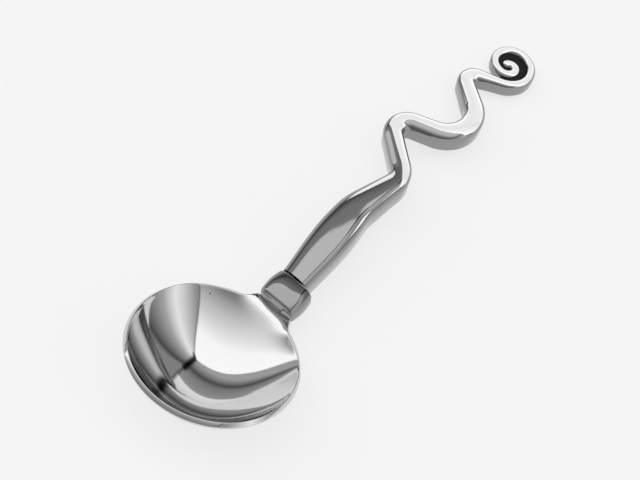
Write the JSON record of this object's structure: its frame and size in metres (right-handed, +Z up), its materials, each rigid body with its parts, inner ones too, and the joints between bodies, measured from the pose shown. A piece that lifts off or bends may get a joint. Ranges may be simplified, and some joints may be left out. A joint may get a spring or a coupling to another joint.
{
  "type": "sugar ladle",
  "caption": "Small ladle for sugar: round pressed bowl on a collar, with a cast handle that waves from side to side and ends in a flat rolled scroll.",
  "frame": {"origin": "on the table, under the middle of the ladle's box as it lies at rest", "axes": "+X from the bowl along the handle to the scroll, +Y to the left of the handle seen from above with the bowl behind, +Z up"},
  "size_m": [0.1666, 0.0494, 0.0215],
  "materials": {
    "bowl_steel": "mirror polished",
    "cast_metal": "hand polished casting",
    "black_fill": "black enamel",
    "bedding": "set cement"
  },
  "bodies": {
    "root": {"bowl": "bowl_steel", "collar": "cast_metal", "handle": "cast_metal", "scroll_fill": "black_fill", "tang_bedding": "bedding"}
  },
  "joints": []
}
